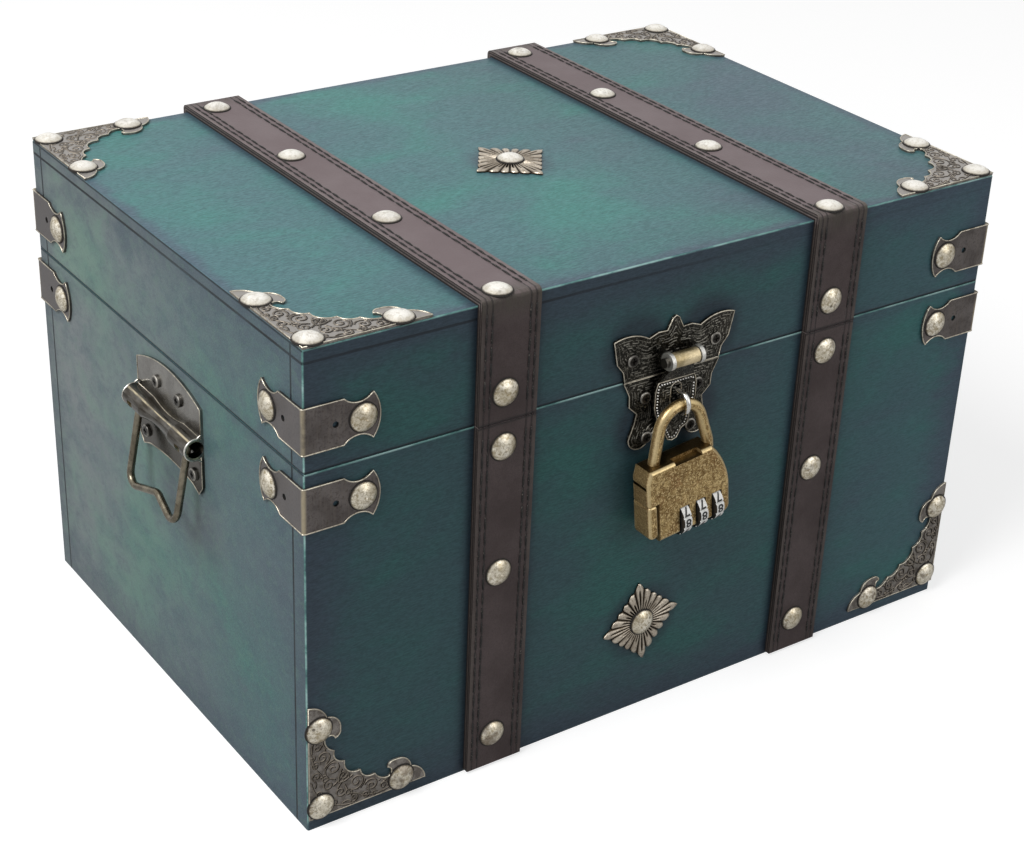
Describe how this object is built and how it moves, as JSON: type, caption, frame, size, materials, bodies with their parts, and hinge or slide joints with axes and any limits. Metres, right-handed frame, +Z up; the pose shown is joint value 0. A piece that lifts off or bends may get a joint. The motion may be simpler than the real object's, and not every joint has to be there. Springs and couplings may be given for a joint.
{
  "type": "storage chest",
  "caption": "Lidded wooden treasure chest with leather straps, domed nails, corner plates, wire end handles and a hinged butterfly hasp with a dial padlock.",
  "frame": {"origin": "centre of the chest's underside", "axes": "+X along the front, left to right, +Y from the front to the back, +Z up"},
  "size_m": [0.3426, 0.2433, 0.2045],
  "materials": {
    "stained_wood": "satin",
    "leather_strap": "matte",
    "antique_nail": "satin",
    "antique_bronze": "satin",
    "antique_silver": "satin",
    "black_bronze": "satin",
    "dark_steel": "satin",
    "bright_steel": "polished",
    "lock_brass": "satin",
    "dial_white": "satin"
  },
  "bodies": {
    "base": {"base_bottom": "stained_wood", "base_front": "stained_wood", "base_back": "stained_wood", "base_left": "stained_wood", "base_right": "stained_wood", "base_front_straps": "leather_strap", "base_back_straps": "leather_strap", "base_strap_nails": "antique_nail", "base_corner_brackets": "antique_bronze", "base_bracket_nails": "antique_nail", "bottom_corner_plates": "antique_bronze", "bottom_plate_nails": "antique_nail", "front_rosette": "antique_silver", "front_rosette_nail": "antique_nail", "hasp_base_plate": "black_bronze", "hasp_base_screws": "black_bronze", "hasp_staple": "bright_steel", "handle_bracket_left": "dark_steel", "handle_bracket_right": "dark_steel", "handle_screws": "dark_steel", "hinge_base_leaves": "antique_bronze", "hinge_base_screws": "antique_bronze", "hinge_pins": "dark_steel"},
    "lid": {"lid_top": "stained_wood", "lid_front": "stained_wood", "lid_back": "stained_wood", "lid_left": "stained_wood", "lid_right": "stained_wood", "lid_straps": "leather_strap", "lid_strap_nails": "antique_nail", "lid_corner_brackets": "antique_bronze", "lid_bracket_nails": "antique_nail", "top_corner_plates": "antique_bronze", "top_plate_nails": "antique_nail", "top_rosette": "antique_silver", "top_rosette_nail": "antique_nail", "hasp_lid_plate": "black_bronze", "hasp_lid_screws": "black_bronze", "hasp_pin": "black_bronze", "hinge_lid_leaves": "antique_bronze", "hinge_lid_screws": "antique_bronze"},
    "hasp": {"hasp_tongue": "black_bronze"},
    "left_bail": {"handle_bail_left": "dark_steel"},
    "right_bail": {"handle_bail_right": "dark_steel"},
    "lock_shackle": {"padlock_shackle": "lock_brass"},
    "lock_case": {"padlock_front_shell": "lock_brass", "padlock_back_shell": "lock_brass", "padlock_dial_axle": "dark_steel"},
    "lock_slider": {"padlock_slider": "lock_brass"},
    "lock_dial_1": {"padlock_dial_1": "dial_white"},
    "lock_dial_2": {"padlock_dial_2": "dial_white"},
    "lock_dial_3": {"padlock_dial_3": "dial_white"}
  },
  "joints": [
    {"name": "lid_hinge", "type": "hinge", "parent": "base", "child": "lid", "pos_m": [0, 0.1138, 0.1525], "axis": [-1, 0, 0], "range_deg": [0, 105]},
    {"name": "hasp_swing", "type": "hinge", "parent": "lid", "child": "hasp", "pos_m": [-0.0027, -0.1179, 0.1604], "axis": [-1, 0, 0], "range_deg": [0, 147]},
    {"name": "left_handle_swing", "type": "hinge", "parent": "base", "child": "left_bail", "pos_m": [-0.1636, -0.0092, 0.1258], "axis": [0, 1, 0], "range_deg": [0, 79]},
    {"name": "right_handle_swing", "type": "hinge", "parent": "base", "child": "right_bail", "pos_m": [0.1636, -0.0092, 0.1258], "axis": [0, -1, 0], "range_deg": [0, 79]},
    {"name": "padlock_swing", "type": "hinge", "parent": "base", "child": "lock_shackle", "pos_m": [-0.0027, -0.1191, 0.1414], "axis": [-1, 0, 0], "range_deg": [0, 80]},
    {"name": "padlock_release", "type": "slide", "parent": "lock_shackle", "child": "lock_case", "axis": [0.1219, 0, -0.9925], "range_m": [0, 0.0055]},
    {"name": "slider_slide", "type": "slide", "parent": "lock_case", "child": "lock_slider", "axis": [0.1219, 0, -0.9925], "range_m": [0, 0.002]},
    {"name": "dial_1_turn", "type": "hinge", "parent": "lock_case", "child": "lock_dial_1", "pos_m": [-0.00082, -0.1191, 0.09289], "axis": [0.9925, 0, 0.1219], "continuous": true},
    {"name": "dial_2_turn", "type": "hinge", "parent": "lock_case", "child": "lock_dial_2", "pos_m": [0.00702, -0.1191, 0.09385], "axis": [0.9925, 0, 0.1219], "continuous": true},
    {"name": "dial_3_turn", "type": "hinge", "parent": "lock_case", "child": "lock_dial_3", "pos_m": [0.01487, -0.1191, 0.09481], "axis": [0.9925, 0, 0.1219], "continuous": true}
  ],
  "couplings": [
    {"joint": "hasp_swing", "follows": "lid_hinge", "ratio": 1.4}
  ]
}
